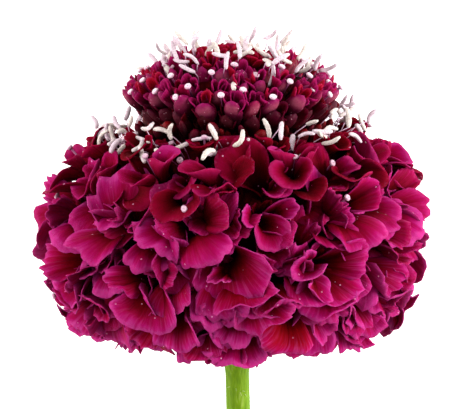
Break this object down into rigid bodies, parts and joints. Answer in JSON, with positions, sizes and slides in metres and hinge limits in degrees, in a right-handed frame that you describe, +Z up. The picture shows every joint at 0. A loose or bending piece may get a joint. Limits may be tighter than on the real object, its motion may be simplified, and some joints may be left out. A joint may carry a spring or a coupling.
{
  "type": "scabiosa flower",
  "caption": "Cut double scabiosa lying on its side: a domed crown of buds over a wide ruff of ruffled magenta florets, with white anthers, green bracts and a bare green stalk.",
  "frame": {"origin": "on the table, under the middle of the whole flower's bounding box", "axes": "+Y along the flower from the stalk's cut end to the bloom's crown, +Z up from the table, +X to the right, seen from above with the crown at the top"},
  "size_m": [0.0688, 0.2012, 0.0648],
  "materials": {
    "stalk": "smooth green stem with fine hairs",
    "ruff_florets": "velvety petals",
    "crown_florets": "waxy buds and velvety petals"
  },
  "bodies": {
    "root": {"stalk": "stalk", "ruff_florets": "ruff_florets", "crown_florets": "crown_florets"}
  },
  "joints": []
}
